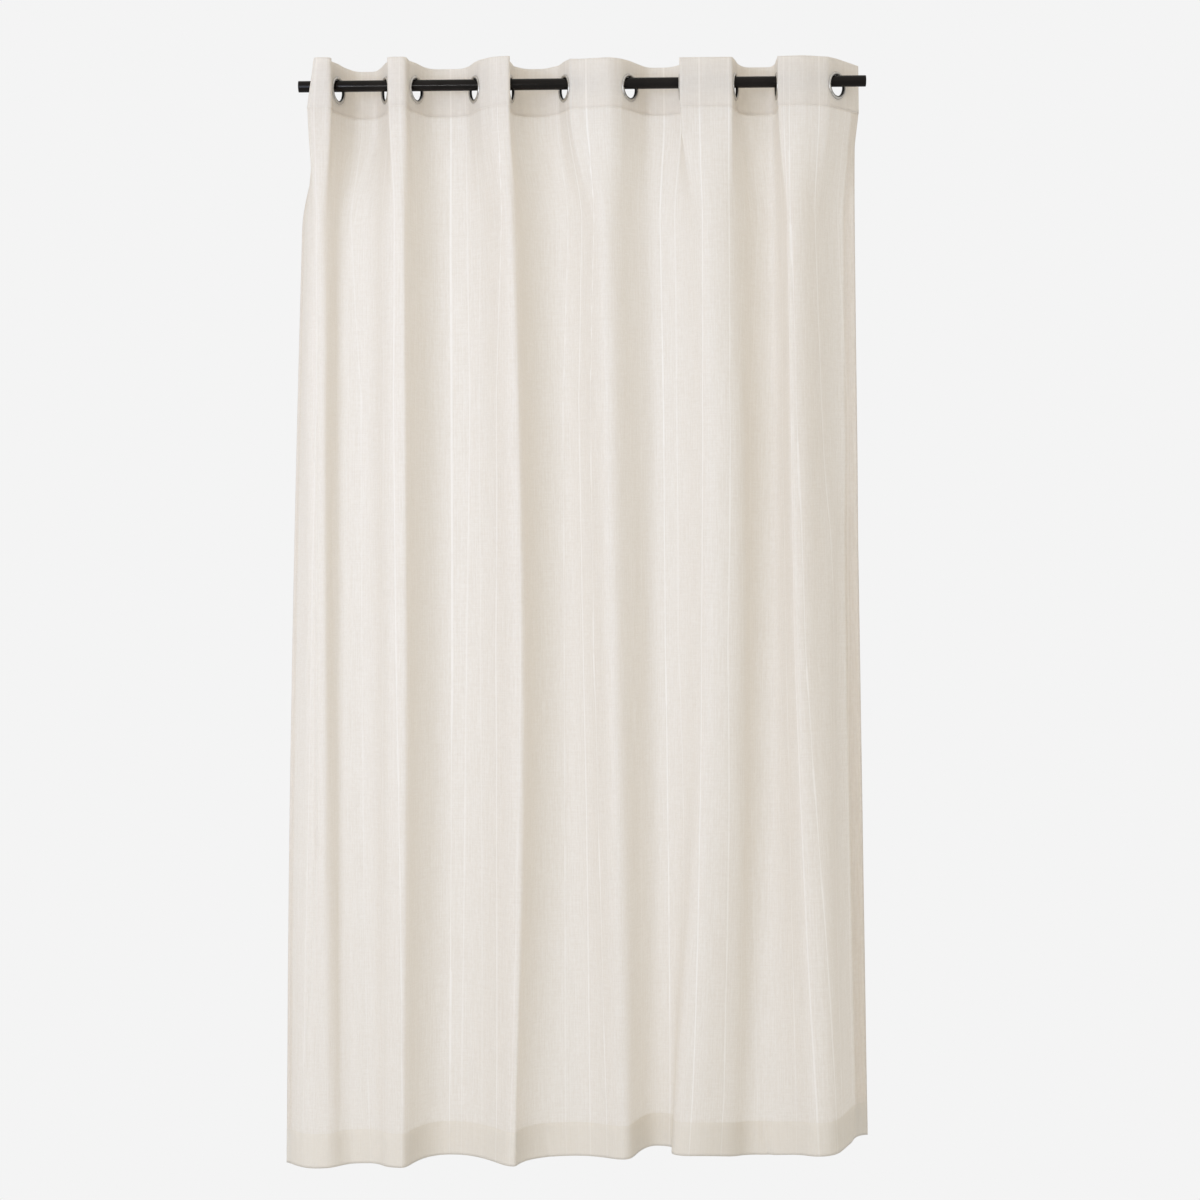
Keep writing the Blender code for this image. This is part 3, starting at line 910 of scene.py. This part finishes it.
class Nodes:
    """Short way to build one material's node tree."""

    def __init__(self, name):
        self.material = bpy.data.materials.new(name)
        self.material.use_nodes = True
        self.tree = self.material.node_tree
        self.shader = self.tree.nodes["Principled BSDF"]
        self.output = self.tree.nodes["Material Output"]

    def add(self, kind, **settings):
        node = self.tree.nodes.new("ShaderNode" + kind)
        for name, value in settings.items():
            setattr(node, name, value)
        return node

    def feed(self, socket, value):
        """Link a socket, or set it to a plain value."""
        if isinstance(value, bpy.types.NodeSocket):
            self.tree.links.new(value, socket)
        else:
            socket.default_value = value

    def fill(self, node, values):
        """Feed a node's inputs by name."""
        for name, value in values.items():
            self.feed(node.inputs[name], value)

    def math(self, operation, first, second=0.0, third=0.0):
        node = self.add("Math", operation=operation)
        for socket, value in zip(node.inputs, (first, second, third)):
            self.feed(socket, value)
        return node.outputs[0]

    def ramp(self, value, low, high, start=0.0, end=1.0):
        """Map value from low..high to start..end, held at both ends."""
        node = self.add("MapRange", interpolation_type="SMOOTHSTEP")
        self.fill(node, {"Value": value, "From Min": low, "From Max": high,
                         "To Min": start, "To Max": end})
        return node.outputs[0]

    def mix(self, share, first, second, blend="MIX"):
        """Blend of two colours, each a socket or three numbers."""
        node = self.add("Mix", data_type="RGBA", blend_type=blend)
        self.feed(node.inputs[0], share)
        for socket, colour in ((node.inputs[6], first), (node.inputs[7], second)):
            linked = isinstance(colour, bpy.types.NodeSocket)
            self.feed(socket, colour if linked else (*colour, 1))
        return node.outputs[2]

    def mix_shaders(self, share, first, second):
        """Blend of two shaders, given as nodes."""
        node = self.add("MixShader")
        for socket, value in zip(node.inputs, (share, first.outputs[0], second.outputs[0])):
            self.feed(socket, value)
        return node

    def noise(self, coordinates, across, along, detail=2.0, roughness=0.5):
        """Noise on the flat cloth, with one wave in about across by along metres."""
        mapping = self.add("Mapping")
        self.fill(mapping, {"Vector": coordinates, "Scale": (1 / across, 1 / along, 1)})
        texture = self.add("TexNoise", noise_dimensions="2D")
        self.fill(texture, {"Vector": mapping.outputs[0], "Scale": 1,
                            "Detail": detail, "Roughness": roughness})
        return texture.outputs[0]

    def place(self):
        """Place in the piece's own space."""
        return self.add("TexCoord").outputs["Object"]

    def patches(self, number, detail=2.0):
        """Noise in the piece's own space, with about so many waves in a metre."""
        texture = self.add("TexNoise")
        self.fill(texture, {"Vector": self.place(), "Scale": number, "Detail": detail})
        return texture.outputs[0]

    def bump(self, height, distance, strength=1.0):
        node = self.add("Bump")
        self.fill(node, {"Height": height, "Distance": distance, "Strength": strength})
        return node.outputs[0]


def thick_threads(n, flat):
    """How strongly a thick white thread shows at each point of the cloth."""
    place = n.add("Attribute", attribute_name="thread_place").outputs["Fac"]
    gap = n.add("Attribute", attribute_name="thread_gap").outputs["Fac"]
    nearest = n.math("ROUND", place)
    away = n.math("MULTIPLY", n.math("ABSOLUTE", n.math("SUBTRACT", place, nearest)), gap)
    thread = n.ramp(away, THREAD_HALF, THREAD_HALF + THREAD_SOFT, 1.0, 0.0)
    strength = n.add("ValToRGB")
    strength.color_ramp.interpolation = "CONSTANT"
    levels = [0.0] + [row.strength for row in THREADS] + [0.0]
    steps = strength.color_ramp.elements
    for k, level in enumerate(levels):
        position = (k + 0.25) / len(levels) if k else 0.0
        step = steps[k] if k < 2 else steps.new(position)
        step.position = position
        step.color = (level, level, level, 1)
    n.feed(strength.inputs[0], n.math("DIVIDE", n.math("ADD", nearest, 0.5), len(levels)))
    slub = n.ramp(n.noise(flat, *SLUB_WAVE, detail=1.0), *SLUB_RANGE, SLUB_LEAST, 1.0)
    return n.math("MULTIPLY", thread, n.math("MULTIPLY", strength.outputs[0], slub))


def voile(name, light, dark, through, opaque, hem=False):
    """Natural linen-look voile: slubbed warp and weft, thick white threads and strays."""
    n = Nodes(name)
    flat = n.add("UVMap", uv_map=FLAT_MAP).outputs[0]
    weave = {}
    shade = 0.0
    for row in WEAVE:
        weave[row.name] = n.noise(flat, row.across, row.along, row.detail, row.roughness)
        shade = n.math("MULTIPLY_ADD", weave[row.name], row.weight, shade)
    colour = n.mix(n.ramp(shade, *SHADE_RANGE), dark, light)
    for across, along, low, high, tint in STRAYS:
        stray = n.ramp(n.noise(flat, across, along), low, high)
        colour = n.mix(n.math("MULTIPLY", stray, STRAY_STRENGTH), colour, tint)
    thread = thick_threads(n, flat)
    colour = n.mix(thread, colour, WHITE_THREAD)

    if hem:
        axes = n.add("SeparateXYZ")
        n.feed(axes.inputs[0], flat)
        height = n.math("ABSOLUTE", axes.outputs["Y"])
        in_hem = n.ramp(height, HEM_DEPTH - MM, HEM_DEPTH, 1.0, 0.0)
        # painted shade: the doubled hem is coloured darker and warmer
        colour = n.mix(n.math("MULTIPLY", in_hem, HEM_SHADE_SHARE), colour, HEM_SHADE_COLOUR)
        through = n.math("MULTIPLY_ADD", in_hem, HEM_THROUGH - through, through)

    relief = n.math("MULTIPLY_ADD", weave["weft"], WEFT_RELIEF, weave["warp"])
    relief = n.bump(n.math("ADD", thread, relief), WEAVE_RELIEF)
    n.fill(n.shader, {"Base Color": colour, "Normal": relief, **VOILE_SURFACE})
    scatter = n.add("BsdfTranslucent")
    n.feed(scatter.inputs["Color"], n.mix(1.0, colour, THROUGH_TINT, "MULTIPLY"))
    cloth = n.mix_shaders(through, n.shader, scatter)
    cloth = n.mix_shaders(1 - opaque, cloth, n.add("BsdfTransparent"))
    n.feed(n.output.inputs["Surface"], cloth.outputs[0])
    return n.material


def nickel():
    """Brushed nickel plate with fine turning marks and dull patches."""
    n = Nodes("brushed_nickel")
    patches = n.patches(NICKEL_PATCHES, 3)
    radius = n.add("VectorMath", operation="LENGTH")
    n.feed(radius.inputs[0], n.place())
    turns = n.math("MULTIPLY", radius.outputs["Value"], 2 * math.pi / TURNING_PITCH)
    n.fill(n.shader, {
        "Base Color": n.mix(n.ramp(patches, 0.35, 0.65), *NICKEL_COLOURS),
        "Roughness": n.ramp(patches, 0.3, 0.7, *NICKEL_ROUGHNESS),
        "Metallic": 1.0,
        "Normal": n.bump(n.math("SINE", turns), TURNING_DEPTH, TURNING_STRENGTH),
    })
    return n.material


def black_finish(name, colour, roughness, grain):
    """Black paint or plastic with a fine orange-peel grain and worn patches."""
    n = Nodes(name)
    wear = n.patches(WEAR_PATCHES, 4)
    lighter = tuple(value * WEAR_LIGHTER for value in colour)
    low, high = (roughness * share for share in WEAR_ROUGHNESS)
    n.fill(n.shader, {
        "Base Color": n.mix(n.ramp(wear, 0.4, 0.7), colour, lighter),
        "Roughness": n.ramp(wear, 0.3, 0.7, low, high),
        "Normal": n.bump(n.patches(1 / grain), PEEL_DEPTH, PEEL_STRENGTH),
        "Specular IOR Level": BLACK_SPECULAR,
    })
    return n.material


def sewing_thread():
    """Off-white sewing thread with a soft sheen and a twist."""
    n = Nodes("sewing_thread")
    colour = n.mix(n.patches(COTTON_TWIST), *COTTON_COLOURS)
    n.fill(n.shader, {"Base Color": colour, **COTTON_SURFACE})
    return n.material


# ---- camera, light and floor

# Camera: the photograph's frame is 1200 pixels square and its lens sees 2200 pixels deep.
FRAME_PIXELS = 1200
FOCAL_PIXELS = 2200
SENSOR = 36.0
CAMERA_PLACE = (24.2 * MM, -4279 * MM, -1004.2 * MM)
CAMERA_ROLL = math.radians(0.60)
FAR_CLIP = 100.0

# Surroundings: the photograph's pale grey for the camera, and their light on the curtain.
BACKGROUND = 0.905
FILL_COLOUR = (1.0, 0.975, 0.94)
FILL_STRENGTH = 0.855

# Floor, and its light on the curtain.
FLOOR_Z = HEM_Z - 20 * MM
FLOOR_SIZE = 60.0
GLOW_STRENGTH = 0.6

# Soft box at the left of the camera, and a strip that the rod's left half mirrors.
KEY = {"place": (-1.3, -2.2, -0.5), "target": (0.1, 0, -1.0), "size": (1.2, 1.6),
       "power": 31, "colour": (0.705, 0.79, 1.0)}
STRIP = {"place": (-0.8, -4.3, -1.0), "target": (-0.35, 0, 0), "size": (0.75, 0.2),
         "power": 22, "colour": (1, 1, 1)}


def make_camera():
    """Camera at the photograph's place, level but for its slight roll."""
    data = bpy.data.cameras.new("photo_camera")
    data.sensor_width = SENSOR
    data.lens = SENSOR * FOCAL_PIXELS / FRAME_PIXELS
    data.clip_end = FAR_CLIP
    camera = bpy.data.objects.new("photo_camera", data)
    bpy.context.scene.collection.objects.link(camera)
    turn = Matrix.Rotation(math.pi / 2, 4, "X") @ Matrix.Rotation(-CAMERA_ROLL, 4, "Z")
    camera.matrix_world = Matrix.Translation(CAMERA_PLACE) @ turn
    bpy.context.scene.camera = camera


def add_light(name, place, target, size, power, colour):
    """Rectangular soft box that faces a target."""
    data = bpy.data.lights.new(name, "AREA")
    data.shape = "RECTANGLE"
    data.size, data.size_y = size
    data.energy = power
    data.color = colour
    lamp = bpy.data.objects.new(name, data)
    bpy.context.scene.collection.objects.link(lamp)
    lamp.location = place
    lamp.rotation_euler = (Vector(target) - Vector(place)).to_track_quat("-Z", "Y").to_euler()


def make_light():
    """Pale surroundings, which the camera sees as plain grey, a soft box and a strip."""
    scene = bpy.context.scene
    scene.view_settings.view_transform = "Standard"
    world = bpy.data.worlds.new("studio")
    scene.world = world
    world.use_nodes = True
    tree = world.node_tree
    seen = tree.nodes["Background"]
    seen.inputs["Color"].default_value = (1, 1, 1, 1)
    seen.inputs["Strength"].default_value = BACKGROUND
    fill = tree.nodes.new("ShaderNodeBackground")
    fill.inputs["Color"].default_value = (*FILL_COLOUR, 1)
    fill.inputs["Strength"].default_value = FILL_STRENGTH
    path = tree.nodes.new("ShaderNodeLightPath")
    mix = tree.nodes.new("ShaderNodeMixShader")
    tree.links.new(path.outputs["Is Camera Ray"], mix.inputs[0])
    tree.links.new(fill.outputs[0], mix.inputs[1])
    tree.links.new(seen.outputs[0], mix.inputs[2])
    tree.links.new(mix.outputs[0], tree.nodes["World Output"].inputs["Surface"])
    add_light("key", **KEY)
    add_light("strip", **STRIP)


def make_floor():
    """Pale floor below the curtain: plain grey for the camera, a softer glow for the cloth."""
    n = Nodes("pale_floor")
    seen, glow = n.add("Emission"), n.add("Emission")
    seen.inputs["Strength"].default_value = BACKGROUND
    glow.inputs["Strength"].default_value = GLOW_STRENGTH
    mix = n.mix_shaders(n.add("LightPath").outputs["Is Camera Ray"], glow, seen)
    n.feed(n.output.inputs["Surface"], mix.outputs[0])
    half = FLOOR_SIZE / 2
    signs = ((-1, -1), (1, -1), (1, 1), (-1, 1))
    corners = [(x * half, y * half, FLOOR_Z) for x, y in signs]
    floor = add_object(mesh_of("pale_floor", corners, [(0, 1, 2, 3)]))
    floor.data.materials.append(n.material)


# ---- the curtain

def dress(piece, material, slot, *nodes):
    """Give a piece its material and its body, and hide the solids that it stands for; slot is
    not used.
    """
    if not piece.data.materials:
        piece.data.materials.append(material)
    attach(piece, "root")
    if nodes:
        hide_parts(*nodes)


def heading_seam():
    """Line of the stitches near the heading's lower edge, and the cloth's normals there."""
    heights = HEADING_BOTTOM_Z + SEAM_IN + np.array([1, 0, -1]) * MM
    level = np.ones(len(places_along()))
    grid = np.array([np.column_stack([plan_row(z), level * z]) for z in heights])
    normals = grid_normals(grid)[1]
    return grid[1] + normals * (HEADING_HALF + STITCH_OUT), normals


def main():
    """Make the whole scene."""
    make_camera()
    make_light()
    make_floor()

    panel, grid, normals, along, heights = make_panel()
    dress(panel, voile("panel_voile", **PANEL_VOILE), "voile", "curtain_panel")
    heading = make_heading()
    dress(heading, voile("heading_voile", **HEADING_VOILE), "heading", "heading_band")

    seam_row = int(np.argmin(np.abs(heights - HEM_Z - HEM_DEPTH + SEAM_IN)))
    hem_line = grid[seam_row] + normals[seam_row] * STITCH_OUT
    hem_stitches = make_stitching("hem_stitching", hem_line, normals[seam_row])
    heading_stitches = make_stitching("heading_stitching", *heading_seam())
    cotton = sewing_thread()
    dress(hem_stitches, cotton, "voile")
    dress(heading_stitches, cotton, "heading")

    metal = nickel()
    sleeve = black_finish("eyelet_sleeve", **SLEEVE_BLACK)
    section, slots = eyelet_section()
    for index in range(len(EYELETS)):
        number = f"{index + 1:02d}"
        ring = add_object(turned_mesh("eyelet_ring_" + number, section, EYELET_SIDES, slots))
        ring.matrix_world = eyelet_axes(index)
        ring.data.materials.append(metal)
        ring.data.materials.append(sleeve)
        dress(ring, metal, "eyelet", "eyelet_" + number)

    rod = add_object(turned_mesh("rod_tube", rod_section(), ROD_SIDES))
    rod.matrix_world = Matrix.Rotation(math.pi / 2, 4, "Y")
    dress(rod, black_finish("rod_paint", **ROD_PAINT), "rod", "rod")


main()
